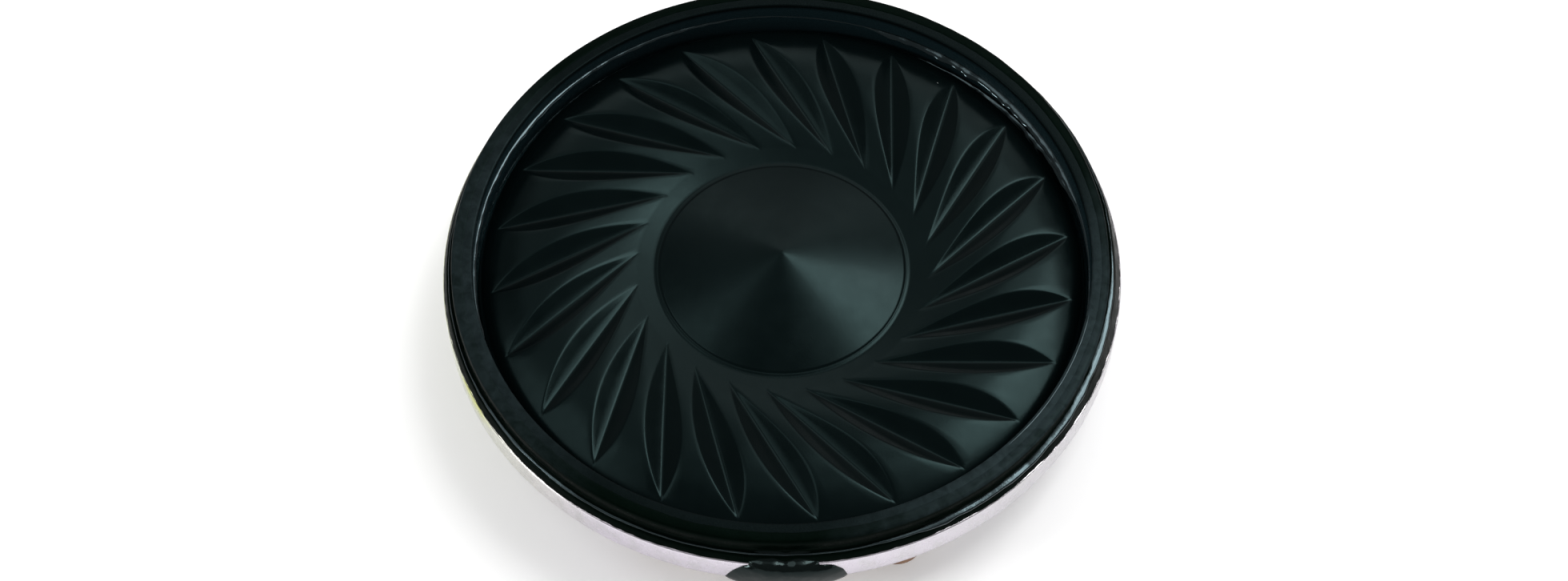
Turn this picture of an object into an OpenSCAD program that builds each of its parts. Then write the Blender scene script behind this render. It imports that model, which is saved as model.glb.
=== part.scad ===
/* Miniature moving-coil loudspeaker with a moulded film diaphragm.
   Millimetres. +Z looks out of the front. The origin is the centre of the magnet pot's rear face.
   The solder terminals are on the -Y side. */

/* [Steel frame] */
// Outside diameter of the rim
rim_d = 28; // [27:0.5:32]
// Height of the rim's outer wall
rim_h = 1.4; // [1.2:0.1:2]
// Thickness of the sheet steel
sheet_t = 0.35; // [0.25:0.05:0.4]
// Width of the seat that the diaphragm's border is glued on
seat_w = 0.9; // [0.7:0.05:1.2]
// Step from the floor up to the seat
step_h = 0.85; // [0.7:0.05:1.2]
// Outside radius of the pressed corners
corner_r = 0.3; // [0.2:0.05:0.35]
// Number of vent pitches round the floor, one of which is taken by the terminals
vent_pitches = 6; // [5:1:7]
// Diameter of each vent
vent_d = 2.2; // [1.6:0.1:2.6]
// Width of the notch in the rim that the coil leads leave through
notch_w = 2.2; // [1.8:0.1:2.6]
// Depth of the lead channel across the seat
channel_depth = 0.15; // [0.12:0.01:0.2]

/* [Magnet and pot] */
// Diameter of the magnet
magnet_d = 9.2; // [8.4:0.1:10.4]
// Thickness of the magnet
magnet_h = 1.2; // [1:0.1:1.4]
// How far the pole plate stands out past the magnet
plate_overhang = 0.25; // [0.1:0.05:0.4]
// Thickness of the pole plate
plate_h = 0.7; // [0.5:0.05:0.8]
// Thickness of the pot's base
pot_base_t = 0.7; // [0.5:0.05:0.8]
// How far the pot stands out behind the frame
pot_depth = 1.5; // [1.3:0.1:1.8]
// Wall of the spigot that is pressed into the frame
spigot_wall = 0.5; // [0.35:0.05:0.7]
// Width of the shoulder that the frame seats on
shoulder_w = 0.25; // [0.15:0.05:0.4]

/* [Voice coil] */
// Clearance between the pole plate and the winding
coil_gap_in = 0.15; // [0.1:0.01:0.25]
// Radial build of the winding
coil_wall = 0.3; // [0.2:0.05:0.35]
// Clearance between the winding and the pot
coil_gap_out = 0.2; // [0.1:0.01:0.3]
// Height of the winding
coil_h = 1.85; // [1.4:0.05:2.1]
// Leg of the glue fillet between winding and film
fillet_leg = 0.22; // [0.15:0.01:0.3]
// Diameter of the lead wires
wire_d = 0.12; // [0.08:0.01:0.13]

/* [Diaphragm] */
// Thickness of the film as drawn
film_t = 0.12; // [0.08:0.01:0.14]
// Height of the grooved surround above the seat
film_lift = 0.9; // [0.8:0.05:1.1]
// Height of the dome's point above the dome's edge
dome_rise = 1.13; // [0.6:0.01:1.15]
// How far the dome's edge lies below the outer groove tips
dome_sink = 0.18; // [0.1:0.01:0.25]
// How far the dome's edge lies inside the winding's outside
dome_inset = 0.11; // [0.05:0.01:0.2]
// Smooth band between the dome's edge and the grooves
inner_band = 0.84; // [0.6:0.01:1]
// Smooth band between the grooves and the edge roll
outer_band = 0.3; // [0.2:0.01:0.4]
// Gap between the edge roll and the front ring
valley_w = 0.4; // [0.3:0.01:0.6]
// Rise of the surround's arch above its ends
arch_rise = 0.43; // [0.3:0.01:0.5]
// Share by which the arch's peak leans outward
arch_skew = 0.25; // [0:0.05:0.5]
// Number of grooves
groove_count = 24; // [18:1:26]
// Turn of each groove from its outer to its inner tip, in degrees
groove_turn = 27.4; // [20:0.1:30]
// Angle of the first groove's outer tip, in degrees
groove_start = -8.2; // [-15:0.1:0]
// Slope of the groove's two sides, in degrees
groove_slope = 31; // [28:1:38]

/* [Front ring and adhesive] */
// Height of the front ring above the outer groove tips
ring_stand = 1.2; // [1.15:0.05:1.5]
// Radial width of the ring's foot
ring_foot_w = 0.9; // [0.8:0.05:1]
// Radial width of the ring's top
ring_top_w = 0.45; // [0.35:0.05:0.5]
// Clearance between the ring and the rim
ring_clear = 0.05; // [0.02:0.01:0.08]
// How far the bead of adhesive stays in from the rim's outside
bead_inset = 0.07; // [0.04:0.01:0.15]
// Width of the adhesive at the notch
mound_neck_w = 2.3; // [2:0.1:2.6]
// Width of the adhesive at its widest
mound_w = 4.9; // [4:0.1:5.4]
// How far the adhesive stands out from the rim
mound_out = 0.42; // [0.3:0.02:0.6]
// Sideways place of the adhesive's middle
mound_x = 0.25; // [0:0.05:0.4]

/* [Terminals] */
// Width of the terminal board
board_w = 11.4; // [10.6:0.1:12]
// Depth of the terminal board, from its outer to its inner edge
board_l = 4.3; // [3.8:0.1:4.6]
// Thickness of the terminal board
board_t = 0.6; // [0.4:0.05:0.7]
// Corner radius of the terminal board
board_r = 1.1; // [0.6:0.1:1.6]
// How far the board's outer edge lies inside the frame's lower wall
board_inset = 0.75; // [0.5:0.05:0.9]
// Angle that the board sits turned about its eyelet, in degrees
board_turn = 1.8; // [0:0.1:3]
// Width of each solder pad
pad_w = 2.9; // [2.4:0.1:3.2]
// Depth of each solder pad
pad_l = 2.5; // [2:0.1:2.8]
// Thickness of each solder pad
pad_t = 0.05; // [0.03:0.01:0.08]
// Distance between the centres of the two pads
pad_pitch = 7; // [6.4:0.1:7.6]
// Diameter of each solder joint
solder_d = 1.7; // [1.2:0.1:2]
// Height of each solder joint
solder_h = 0.36; // [0.25:0.01:0.45]
// Outside diameter of the board's eyelet
eyelet_d = 1.3; // [1:0.1:1.5]
// Bore of the board's eyelet
eyelet_bore_d = 0.7; // [0.5:0.1:0.8]
// Diameter of the eyelet's two flanges
eyelet_flange_d = 2.1; // [1.8:0.1:2.4]
// Thickness of the eyelet's two flanges
eyelet_flange_t = 0.2; // [0.12:0.01:0.25]

/* [Vent cloth] */
// Radial width of the cloth behind the vents
cloth_w = 3; // [2.8:0.1:3.4]
// Thickness of the cloth
cloth_t = 0.15; // [0.1:0.01:0.2]
// Angle that the cloth spans, in degrees
cloth_span = 268; // [250:1:280]

/* [Hidden] */

$fn = 96;
eps = 0.01;

// Levels, from the rear face of the pot
floor_z = pot_depth;
floor_top = floor_z + sheet_t;
step_z = floor_z + step_h;
seat_z = step_z + sheet_t;
rim_top = step_z + rim_h;
border_top = seat_z + film_t;
groove_z = seat_z + film_lift;
dome_edge_z = groove_z - dome_sink;
ring_top = groove_z + ring_stand;
foot_top = rim_top - sheet_t / 2;
magnet_top = pot_base_t + magnet_h;
plate_top = magnet_top + plate_h;
coil_top = dome_edge_z - film_t;
board_z = floor_z - board_t;
pad_z = board_z - pad_t;

// Radii, from the rim inward and from the coil outward
rim_r = rim_d / 2;
wall_r = rim_r - sheet_t;
ledge_r = wall_r - seat_w;
lower_r = ledge_r + sheet_t;
ring_r = wall_r - ring_clear;
ring_bore_r = ring_r - ring_foot_w;
ring_neck_r = ring_bore_r + ring_top_w;
film_edge_r = ring_bore_r - valley_w;
groove_outer_r = film_edge_r - outer_band;
border_r = ring_r - ring_clear;
border_bore_r = ring_bore_r - 0.1;
magnet_r = magnet_d / 2;
plate_r = magnet_r + plate_overhang;
coil_bore_r = plate_r + coil_gap_in;
coil_r = coil_bore_r + coil_wall;
pot_bore_r = coil_r + coil_gap_out;
hole_r = pot_bore_r + spigot_wall;
pot_r = hole_r + shoulder_w;
dome_r = coil_r - dome_inset;
groove_inner_r = dome_r + inner_band;
vent_ring_r = (pot_r + ledge_r) / 2;

// Places on the terminal side
board_y = -(lower_r - board_inset);
pad_y = board_y + board_l / 2 + 0.05;
channel_z = seat_z - channel_depth;
wire_r = wire_d / 2;

// Point of the board, turned with it about the eyelet
function on_board(x, y, z) = [
  x * cos(board_turn) + (y - pad_y) * sin(board_turn),
  pad_y + (y - pad_y) * cos(board_turn) - x * sin(board_turn),
  z
];

// Children turned with the board about its eyelet
module turned_with_board() {
  translate([0, pad_y, 0])
    rotate([0, 0, -board_turn])
      translate([0, -pad_y, 0])
        children();
}

// Points of an arc about c, from angle a0 to a1 in n steps
function arc(c, r, a0, a1, n = 6) =
  [for (i = [0:n]) c + r * [cos(a0 + (a1 - a0) * i / n), sin(a0 + (a1 - a0) * i / n)]];

// A closed ring of rectangular section
module tube(r_in, r_out, z_low, z_high) {
  translate([0, 0, z_low])
    difference() {
      cylinder(r = r_out, h = z_high - z_low);
      translate([0, 0, -1])
        cylinder(r = r_in, h = z_high - z_low + 2);
    }
}

// A solid of revolution from the points of its section
module turned(points) {
  rotate_extrude()
    polygon(points);
}

// Route with each inner corner cut back to a quarter of its spans
function eased(points) =
  let (last = len(points) - 1)
  concat(
    [points[0]],
    [for (i = [0:last - 1], share = [0.25, 0.75])
      if (!(i == 0 && share == 0.25) && !(i == last - 1 && share == 0.75))
        points[i] * (1 - share) + points[i + 1] * share],
    [points[last]]
  );

// Unit direction of the route at point i
function heading(points, i) =
  let (
    before = points[max(i - 1, 0)],
    after = points[min(i + 1, len(points) - 1)]
  )
  (after - before) / norm(after - before);

// Eight-sided wire swept along a route that never runs along X
wire_sides = 8;
module wire(route) {
  points = eased(route);
  last = len(points) - 1;
  rings = [
    for (i = [0:last])
      let (
        along = heading(points, i),
        side = cross(along, [1, 0, 0]) / norm(cross(along, [1, 0, 0])),
        up = cross(side, along)
      )
      for (j = [0:wire_sides - 1])
        points[i] + wire_r * (side * cos(j * 360 / wire_sides) + up * sin(j * 360 / wire_sides))
  ];
  skin = [
    for (i = [0:last - 1], j = [0:wire_sides - 1])
      let (
        a = i * wire_sides + j,
        b = i * wire_sides + (j + 1) % wire_sides,
        c = a + wire_sides,
        d = b + wire_sides
      )
      each [[a, c, b], [b, c, d]]
  ];
  start_cap = [for (j = [1:wire_sides - 2]) [0, j, j + 1]];
  end_cap = [for (j = [1:wire_sides - 2]) [0, j + 1, j] + last * wire_sides * [1, 1, 1]];
  polyhedron(rings, concat(skin, start_cap, end_cap));
}

// Section of the pressed sheet, from the pot's hole out to the top of the rim
module frame_shell() {
  edge_r = sheet_t / 4;
  inner_r = max(corner_r - sheet_t / 2, 0.05);
  turned(concat(
    [[hole_r, floor_z]],
    arc([lower_r - corner_r, floor_z + corner_r], corner_r, -90, 0),
    arc([lower_r + inner_r, step_z - inner_r], inner_r, 180, 90, 3),
    arc([rim_r - corner_r, step_z + corner_r], corner_r, -90, 0),
    arc([rim_r - edge_r, rim_top - edge_r], edge_r, 0, 90, 3),
    arc([wall_r + edge_r, rim_top - edge_r], edge_r, 90, 180, 3),
    [[wall_r, seat_z]],
    arc([ledge_r + inner_r, seat_z - inner_r], inner_r, 90, 180, 3),
    [[ledge_r, floor_top], [hole_r, floor_top]]
  ));
}

module frame() {
  color("silver")
    difference() {
      frame_shell();
      for (i = [1:vent_pitches - 1])
        rotate([0, 0, -90 + i * 360 / vent_pitches])
          translate([vent_ring_r, 0, floor_z - 1])
            cylinder(d = vent_d, h = sheet_t + 2);
      translate([0, pad_y, floor_z - 1])
        cylinder(d = eyelet_d, h = sheet_t + 2);
      translate([-notch_w / 2, -rim_r - 1, channel_z])
        cube([notch_w, rim_r + 1 - ledge_r + seat_w / 2, rim_h + 1]);
    }
}

module yoke_pot() {
  edge = 0.15;
  color("lightgray")
    turned([
      [0, 0],
      [pot_r - edge, 0],
      [pot_r, edge],
      [pot_r, floor_z],
      [hole_r, floor_z],
      [hole_r, plate_top],
      [pot_bore_r, plate_top],
      [pot_bore_r, pot_base_t],
      [0, pot_base_t]
    ]);
}

module magnet() {
  color("gray")
    translate([0, 0, pot_base_t])
      cylinder(r = magnet_r, h = magnet_h);
}

module pole_plate() {
  color("darkgray")
    translate([0, 0, magnet_top])
      cylinder(r = plate_r, h = plate_h);
}

module voice_coil() {
  color("peru")
    tube(coil_bore_r, coil_r, coil_top - coil_h, coil_top);
}

// Fillet in the corner between the winding's outside and the film
module coil_adhesive() {
  color("khaki")
    turned([[coil_r, coil_top], [coil_r, coil_top - fillet_leg], [coil_r + fillet_leg, coil_top]]);
}

// Shallow cone with a small flat land at its edge, over the winding
module diaphragm_dome() {
  tip_r = 0.12;
  slope_t = film_t * norm([dome_r, dome_rise]) / dome_r;
  color([0.08, 0.1, 0.1])
    turned([
      [0, coil_top + dome_rise + film_t - slope_t],
      [dome_r - tip_r, coil_top + tip_r * dome_rise / dome_r + film_t - slope_t],
      [dome_r, coil_top],
      [coil_r, coil_top],
      [coil_r, dome_edge_z],
      [dome_r, dome_edge_z],
      [tip_r, dome_edge_z + dome_rise * (1 - tip_r / dome_r)],
      [0, dome_edge_z + dome_rise * (1 - tip_r / dome_r) + tip_r / 4]
    ]);
}

// Upper line of the surround: level band, arch over the grooves, roll at the edge, flat border
arch_steps = 8;
inner_tip_z = groove_z - dome_sink - 0.05;
function arch_z(r) =
  let (s = (r - groove_inner_r) / (groove_outer_r - groove_inner_r))
  inner_tip_z + (groove_z - inner_tip_z) * s
  + 4 * arch_rise * s * (1 - s) * (1 + arch_skew * (2 * s - 1));
function arch_line() = [
  for (i = [0:arch_steps])
    let (r = groove_inner_r + (groove_outer_r - groove_inner_r) * i / arch_steps)
    [r, arch_z(r)]
];
roll_drop = groove_z - border_top;
roll_w = border_bore_r - groove_outer_r;
function roll_line() = [
  for (a = [30:20:70])
    [groove_outer_r + roll_w * sin(a), groove_z - roll_drop * (1 - cos(a))]
];

// Everything under the film's upper side, or under its lower side when drop is the film's thickness
module under_film(drop, foot) {
  squeeze = drop * 0.8;
  turned(concat(
    [[coil_r - (drop > 0 ? 1 : 0), foot]],
    [[coil_r - (drop > 0 ? 1 : 0), dome_edge_z - drop]],
    [[coil_r + fillet_leg + eps, dome_edge_z - drop]],
    [for (p = arch_line()) p - [0, drop]],
    [for (p = roll_line()) p - [squeeze, drop / 2]],
    [[border_bore_r - squeeze, drop > 0 ? seat_z : border_top]],
    drop > 0 ? [[border_bore_r - squeeze, foot]] : [[border_r, border_top], [border_r, foot]]
  ));
}

// Wedge over each fold, whose two sides rise from the straight line between the tips
module groove_wedges(drop) {
  wedge_w = 0.8;
  wedge_h = wedge_w * tan(groove_slope);
  for (i = [0:groove_count - 1]) {
    a_out = groove_start - i * 360 / groove_count;
    a_in = a_out - groove_turn;
    tip_in = [groove_inner_r * cos(a_in), groove_inner_r * sin(a_in), inner_tip_z - drop];
    tip_out = [groove_outer_r * cos(a_out), groove_outer_r * sin(a_out), groove_z - drop];
    fold = tip_out - tip_in;
    translate(tip_in)
      rotate([0, -asin(fold[2] / norm(fold)), 0] + [0, 0, atan2(fold[1], fold[0])])
        rotate([90, 0, 90])
          linear_extrude(norm(fold))
            polygon([[0, 0], [wedge_w, wedge_h], [-wedge_w, wedge_h]]);
  }
}

module diaphragm_surround() {
  color([0.1, 0.12, 0.12])
    difference() {
      under_film(0, seat_z);
      groove_wedges(0);
      difference() {
        under_film(film_t, seat_z - 1);
        groove_wedges(film_t);
      }
    }
}

// Stepped ring that clamps the film's border, with a narrow top
module front_ring() {
  edge = 0.06;
  color([0.16, 0.17, 0.17])
    turned([
      [ring_bore_r, border_top],
      [ring_r, border_top],
      [ring_r, foot_top],
      [ring_neck_r, foot_top],
      [ring_neck_r, ring_top],
      [ring_bore_r + edge, ring_top],
      [ring_bore_r, ring_top - edge]
    ]);
}

// Bead laid round the ring's neck, from its top down to the top of the rim
module ring_adhesive() {
  crest_z = ring_top - 0.04;
  bead_r = rim_r - bead_inset;
  shoulder_r = ring_r + ring_clear / 2;
  shoulder_z = ring_top - 0.14;
  color([0.04, 0.05, 0.05])
    turned([
      [ring_neck_r, foot_top],
      [ring_r, foot_top],
      [ring_r, rim_top],
      [bead_r, rim_top],
      [bead_r, rim_top + 0.12],
      [(bead_r + shoulder_r) / 2 + 0.02, (rim_top + shoulder_z) / 2],
      [shoulder_r, shoulder_z],
      [shoulder_r - 0.1, crest_z - 0.03],
      [shoulder_r - 0.2, crest_z],
      [ring_neck_r + 0.1, crest_z],
      [ring_neck_r, crest_z - 0.03]
    ]);
}

// Route of each lead: side is 1 for plus and -1 for minus
function coil_route(side) = [
  [side * 0.6, -coil_r - wire_r, coil_top - fillet_leg - 2 * wire_r],
  [side * 0.9, -coil_r - 1.6, coil_top - 0.4],
  [side * 0.95, -(coil_r + ledge_r) / 2, (coil_top + channel_z) / 2 - 0.1],
  [side * 0.8, -ledge_r + 1.2, channel_z + 0.12],
  [side * 0.7, -ledge_r - 0.05, channel_z + wire_r + eps]
];
function rim_route(side) = [
  [side * 0.7, -ledge_r - 0.05, channel_z + wire_r + eps],
  [side * 0.75, -rim_r - wire_r - eps, channel_z + wire_r + eps],
  [side * 1.1, -rim_r - wire_r - eps, step_z + corner_r],
  [side * 1.8, -(rim_r + lower_r) / 2 - 0.2, floor_z + 0.3],
  [side * 2.3, -lower_r - 0.05, board_z + 0.3],
  on_board(side * 2.7, board_y - 0.4, board_z - wire_r - 0.05),
  on_board(side * (pad_pitch / 2 - 0.2), pad_y - solder_d / 4, pad_z - wire_r - eps)
];

module coil_lead(side) {
  color("chocolate")
    wire(coil_route(side));
}

module rim_lead(side) {
  color("chocolate")
    wire(rim_route(side));
}

// Adhesive that fills the notch, hides the leads and spreads down to the board's edge
module lead_adhesive() {
  face_y = -rim_r - mound_out;
  low_z = board_z + board_t / 3;
  // How far the outline runs into the board and the steel before they are cut out of it
  buried = 0.25;
  color([0.04, 0.05, 0.05])
    difference() {
      intersection() {
        translate([mound_x - mound_w, 0, 0])
          rotate([90, 0, 90])
            linear_extrude(2 * mound_w)
              polygon([
                [-ring_r + ring_clear / 2, ring_top - 0.45],
                [-rim_r + 0.02, ring_top - 0.62],
                [face_y + 0.14, rim_top + 0.12],
                [face_y + 0.03, rim_top - 0.2],
                [face_y, rim_top - 0.6],
                [face_y + 0.04, step_z + 0.3],
                [face_y + 0.2, step_z - 0.1],
                [-lower_r - 0.5, floor_z],
                [-lower_r - 0.15, low_z],
                [board_y + buried, low_z],
                [board_y + buried, floor_z + sheet_t / 2],
                [-lower_r + buried, floor_z + sheet_t / 2],
                [-lower_r + buried, seat_z],
                [-border_r - ring_clear / 2, seat_z]
              ]);
        translate([mound_x, 0, 0])
          rotate([90, 0, 0])
            linear_extrude(2 * rim_r)
              polygon([
                [-mound_neck_w / 2, ring_top],
                [-mound_neck_w / 2, rim_top + 0.05],
                [-mound_w * 0.34, rim_top - 0.25],
                [-mound_w * 0.42, rim_top - 0.6],
                [-mound_w / 2, step_z + 0.3],
                [-mound_w * 0.48, floor_z + 0.3],
                [-mound_w * 0.4, low_z],
                [mound_w * 0.4, low_z],
                [mound_w * 0.48, floor_z + 0.3],
                [mound_w / 2, step_z + 0.3],
                [mound_w * 0.42, rim_top - 0.6],
                [mound_w * 0.34, rim_top - 0.25],
                [mound_neck_w / 2, rim_top + 0.05],
                [mound_neck_w / 2, ring_top]
              ]);
      }
      frame();
      front_ring();
      ring_adhesive();
      turned_with_board()
        board_blank();
    }
}

// The board's outline, with its hole for the eyelet left out
module board_blank() {
  x = board_w / 2 - board_r;
  translate([0, board_y, board_z])
    union() {
      translate([-x, 0, 0])
        cube([2 * x, board_l, board_t]);
      translate([-board_w / 2, board_r, 0])
        cube([board_w, board_l - 2 * board_r, board_t]);
      for (sx = [-x, x], sy = [board_r, board_l - board_r])
        translate([sx, sy, 0])
          cylinder(r = board_r, h = board_t);
    }
}

module terminal_board() {
  color("saddlebrown")
    turned_with_board() difference() {
      board_blank();
      translate([0, pad_y, board_z - 1])
        cylinder(d = eyelet_d, h = board_t + 2);
    }
}

module board_eyelet() {
  z_low = board_z - eyelet_flange_t;
  z_high = floor_top + eyelet_flange_t;
  color("gold")
    translate([0, pad_y, 0])
      difference() {
        union() {
          translate([0, 0, z_low])
            cylinder(d = eyelet_d, h = z_high - z_low);
          translate([0, 0, z_low])
            cylinder(d = eyelet_flange_d, h = eyelet_flange_t);
          translate([0, 0, floor_top])
            cylinder(d = eyelet_flange_d, h = eyelet_flange_t);
        }
        translate([0, 0, z_low - 1])
          cylinder(d = eyelet_bore_d, h = z_high - z_low + 2);
      }
}

module pad(side) {
  color("orange")
    turned_with_board()
      translate([side * pad_pitch / 2 - pad_w / 2, pad_y - pad_l / 2, pad_z])
        cube([pad_w, pad_l, pad_t]);
}

// Low dome of solder over the end of the lead
module solder(side) {
  foot_r = solder_d / 2;
  ball_r = (foot_r * foot_r + solder_h * solder_h) / (2 * solder_h);
  color("whitesmoke")
    turned_with_board() intersection() {
      translate([side * pad_pitch / 2, pad_y, pad_z - solder_h + ball_r])
        sphere(r = ball_r);
      translate([side * pad_pitch / 2, pad_y, pad_z - solder_h - 1])
        cylinder(r = foot_r + 1, h = solder_h + 1);
    }
}

// Damping cloth glued behind the vents, open where the board is
module vent_cloth() {
  color([0.2, 0.2, 0.2])
    difference() {
      tube(vent_ring_r - cloth_w / 2, vent_ring_r + cloth_w / 2, floor_z - cloth_t, floor_z);
      translate([0, 0, floor_z - 1])
        linear_extrude(2)
          polygon(concat(
            [[0, 0]],
            arc([0, 0], 2 * rim_r, -90 - (360 - cloth_span) / 2, -90 + (360 - cloth_span) / 2, 2)
          ));
    }
}

frame();
yoke_pot();
magnet();
pole_plate();
voice_coil();
coil_adhesive();
diaphragm_dome();
diaphragm_surround();
front_ring();
ring_adhesive();
lead_adhesive();
terminal_board();
board_eyelet();
pad(1);  // pad_plus
pad(-1);  // pad_minus
solder(1);  // solder_plus
solder(-1);  // solder_minus
coil_lead(1);  // coil_lead_plus
coil_lead(-1);  // coil_lead_minus
rim_lead(1);  // rim_lead_plus
rim_lead(-1);  // rim_lead_minus
vent_cloth();
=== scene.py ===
from math import atan2, cos, degrees, exp, hypot, pi, radians, sin, sqrt, tan, tau

import bmesh
import bpy
import numpy as np
from mathutils import Matrix, Quaternion, Vector, noise


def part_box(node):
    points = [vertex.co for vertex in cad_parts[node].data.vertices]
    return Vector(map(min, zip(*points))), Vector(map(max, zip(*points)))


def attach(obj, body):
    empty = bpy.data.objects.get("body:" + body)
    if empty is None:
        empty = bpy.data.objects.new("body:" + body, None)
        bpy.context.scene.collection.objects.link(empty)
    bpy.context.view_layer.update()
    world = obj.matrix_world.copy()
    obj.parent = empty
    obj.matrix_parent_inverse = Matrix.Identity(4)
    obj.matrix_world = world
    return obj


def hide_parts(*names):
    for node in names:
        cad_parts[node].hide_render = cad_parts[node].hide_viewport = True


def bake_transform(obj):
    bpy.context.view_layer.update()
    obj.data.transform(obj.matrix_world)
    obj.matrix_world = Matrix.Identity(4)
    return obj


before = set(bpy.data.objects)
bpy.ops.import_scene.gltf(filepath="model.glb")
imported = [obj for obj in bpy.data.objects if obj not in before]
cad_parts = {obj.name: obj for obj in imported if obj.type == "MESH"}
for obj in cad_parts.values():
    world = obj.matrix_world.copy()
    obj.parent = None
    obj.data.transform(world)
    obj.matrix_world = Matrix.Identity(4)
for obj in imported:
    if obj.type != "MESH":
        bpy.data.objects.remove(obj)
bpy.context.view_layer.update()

scene = bpy.context.scene
MM = 0.001


# Sizes taken from the frame, in millimetres

def low(node, axis):
    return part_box(node)[0][axis] / MM


def high(node, axis):
    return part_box(node)[1][axis] / MM


rim_r = high("frame", 0)
rim_top = high("frame", 2)
floor_z = low("frame", 2)
ring_r = high("front_ring", 0)
ring_top = high("front_ring", 2)
border_top = low("front_ring", 2)
pot_r = high("yoke_pot", 0)
pot_top = high("yoke_pot", 2)
coil_r = high("voice_coil", 0)
coil_top = high("voice_coil", 2)
eyelet_y = (low("board_eyelet", 1) + high("board_eyelet", 1)) / 2
board_z0 = low("terminal_board", 2)
board_z1 = high("terminal_board", 2)
pad_z0 = low("pad_plus", 2)
solder_z0 = low("solder_plus", 2)
cloth_z0 = low("vent_cloth", 2)
cloth_r1 = high("vent_cloth", 0)

# Other sizes, in millimetres

sheet_t = 0.35
seat_w = 0.9
step_h = 0.85
corner_r = 0.3
wall_r = rim_r - sheet_t
ledge_r = wall_r - seat_w
lower_r = ledge_r + sheet_t
step_z = floor_z + step_h
seat_z = step_z + sheet_t
floor_top = floor_z + sheet_t
hole_r = pot_r - 0.25
pot_bore_r = coil_r + 0.2
pot_base_t = 0.7
vent_r = 9.5
vent_d = 2.2
vent_pitches = 6
notch_w = 2.2
notch_z = seat_z - 0.15
ring_bore_r = ring_r - 0.9
ring_neck_r = ring_bore_r + 0.45
ring_face_z = ring_top - 0.02
foot_top = rim_top - sheet_t / 2
bead_r = 13.5
bead_lip_r = ring_neck_r - 0.06
bead_foot_r = rim_r - 0.1
cloth_w = 3.0
cloth_span = radians(268)
wire_d = 0.12
board_w = 11.4
board_l = 4.3
board_off = 0.05
board_turn = radians(-1.8)
board_edge_y = eyelet_y - board_off - board_l / 2
pad_w = 2.9
pad_l = 2.5
pad_x = 3.5
eyelet_d = 1.3
eyelet_bore_d = 0.7
eyelet_flange_d = 2.1
eyelet_flange_t = 0.2

# Sizes of the diaphragm

film_t = 0.08
film_edge_z = coil_top + 0.12
groove_z = 3.6
dome_r = 5.1
dome_rise = 1.13
dome_bulge = 0.03
apex_round = 0.08
band_r = 5.34
dome_foot = [(dome_r, 0), (5.13, -0.016), (5.16, -0.013), (5.2, -0.019), (5.26, -0.034), (5.3, -0.039),
             (band_r, -0.036)]
groove_inner_r = 6.03
groove_outer_r = 12.0
inner_tip_z = 3.52
arch_rise = 0.43
arch_skew = 0.25
groove_count = 24
groove_pitch = tau / groove_count
groove_start = radians(-8.2)
groove_turn = radians(27.4)
groove_slope = tan(radians(30.5))
fold_round = 0.08
edge_round = 0.045
roll_foot_r = 12.58
border_r = 13.55


# Mesh building

def add_object(name, data):
    """A new object in the scene, from a mesh, curve, lamp or camera."""
    made = bpy.data.objects.new(name, data)
    scene.collection.objects.link(made)
    return made


def add_piece(name, mesh, sharp_angle=40):
    """Puts a mesh in the scene as an object, with doubles merged and normals outward."""
    work = bmesh.new()
    work.from_mesh(mesh)
    bmesh.ops.remove_doubles(work, verts=work.verts, dist=2e-7)
    bmesh.ops.dissolve_degenerate(work, edges=work.edges, dist=1e-8)
    bmesh.ops.recalc_face_normals(work, faces=work.faces)
    work.to_mesh(mesh)
    work.free()
    mesh.shade_smooth()
    mesh.set_sharp_from_angle(angle=radians(sharp_angle))
    return add_object(name, mesh)


def new_piece(name, points, faces, sharp_angle=40):
    """A mesh object from points in millimetres."""
    mesh = bpy.data.meshes.new(name)
    mesh.from_pydata([tuple(MM * float(c) for c in p) for p in points], [], faces)
    return add_piece(name, mesh, sharp_angle)


def grid_faces(rows, cols, wrap_rows=False, wrap_cols=False, offset=0):
    """Quads between neighbouring points of a grid."""
    faces = []
    for i in range(rows if wrap_rows else rows - 1):
        for j in range(cols if wrap_cols else cols - 1):
            i1 = (i + 1) % rows
            j1 = (j + 1) % cols
            faces.append((offset + i * cols + j, offset + i * cols + j1,
                          offset + i1 * cols + j1, offset + i1 * cols + j))
    return faces


def shell(name, upper, lower, wrap=False, sharp_angle=40):
    """A closed solid between two grids of points, each rows x columns x 3."""
    rows, cols = upper.shape[:2]
    count = rows * cols
    faces = grid_faces(rows, cols, wrap_cols=wrap)
    faces += [tuple(reversed(f)) for f in grid_faces(rows, cols, wrap_cols=wrap, offset=count)]
    rims = [[i * cols + j for j in range(cols)] for i in (0, rows - 1)]
    if wrap:
        edges = [(a, b) for rim in rims for a, b in zip(rim, rim[1:] + rim[:1])]
    else:
        rims += [[i * cols + j for i in range(rows)] for j in (0, cols - 1)]
        edges = [(a, b) for rim in rims for a, b in zip(rim, rim[1:])]
    faces += [(a, b, b + count, a + count) for a, b in edges]
    points = np.concatenate([upper.reshape(-1, 3), lower.reshape(-1, 3)])
    return new_piece(name, points, faces, sharp_angle)


def rounded(corners, steps):
    """A closed outline whose corners, each (a, b, radius), are eased by curves of so many points."""
    outline = []
    count = len(corners)
    for i, (a, b, radius) in enumerate(corners):
        here = np.array([a, b])
        if radius <= 0:
            outline.append(here)
            continue
        before = np.array(corners[i - 1][:2]) - here
        after = np.array(corners[(i + 1) % count][:2]) - here
        cut = min(radius, 0.48 * np.linalg.norm(before), 0.48 * np.linalg.norm(after))
        start = here + before / np.linalg.norm(before) * cut
        end = here + after / np.linalg.norm(after) * cut
        for t in np.linspace(0, 1, steps):
            outline.append((1 - t) ** 2 * start + 2 * t * (1 - t) * here + t ** 2 * end)
    return outline


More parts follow.
